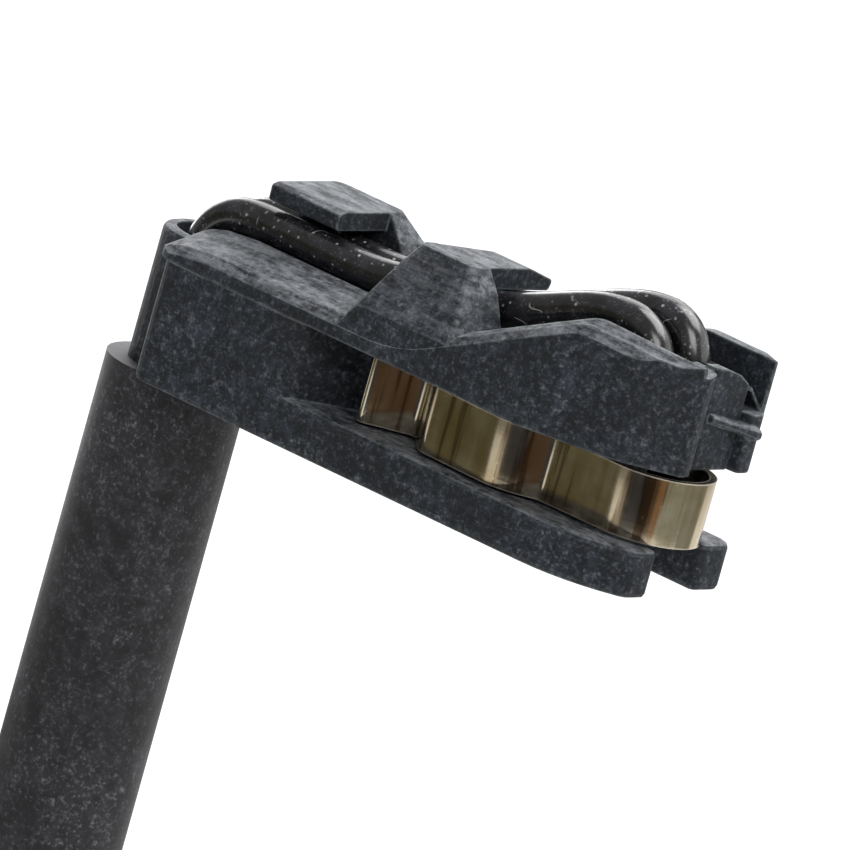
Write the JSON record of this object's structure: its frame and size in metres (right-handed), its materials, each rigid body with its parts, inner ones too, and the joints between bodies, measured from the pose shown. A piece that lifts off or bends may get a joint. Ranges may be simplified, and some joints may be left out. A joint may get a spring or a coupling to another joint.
{
  "type": "brake pad wear sensor",
  "caption": "Slide-on brake pad wear sensor: moulded head with a spring-lined slot and hooked wire loop, rubber hose, coil and plug.",
  "frame": {"origin": "middle of the slot that slides onto the pad's backing plate", "axes": "+X along the head from the hose end to the wear tip, +Z from the foot to the wire hooks"},
  "size_m": [0.1141, 0.0238, 0.1416],
  "materials": {
    "glass_nylon": "matte",
    "spring_steel": "bright, with a straw tint",
    "wire_sheath": "gloss",
    "hose_rubber": "matte",
    "tie_nylon": "satin",
    "connector_plastic": "satin",
    "lock_plastic": "satin",
    "tinned_brass": "bright"
  },
  "bodies": {
    "root": {"sensor_carrier": "glass_nylon", "retaining_spring": "spring_steel", "sensing_wire": "wire_sheath", "hose_top": "hose_rubber", "hose_run": "hose_rubber", "hose_coil": "hose_rubber", "hose_tail": "hose_rubber", "coil_tie": "tie_nylon", "connector_boot": "hose_rubber", "connector_housing": "connector_plastic", "connector_lock": "lock_plastic", "terminal_left": "tinned_brass", "terminal_right": "tinned_brass"}
  },
  "joints": []
}
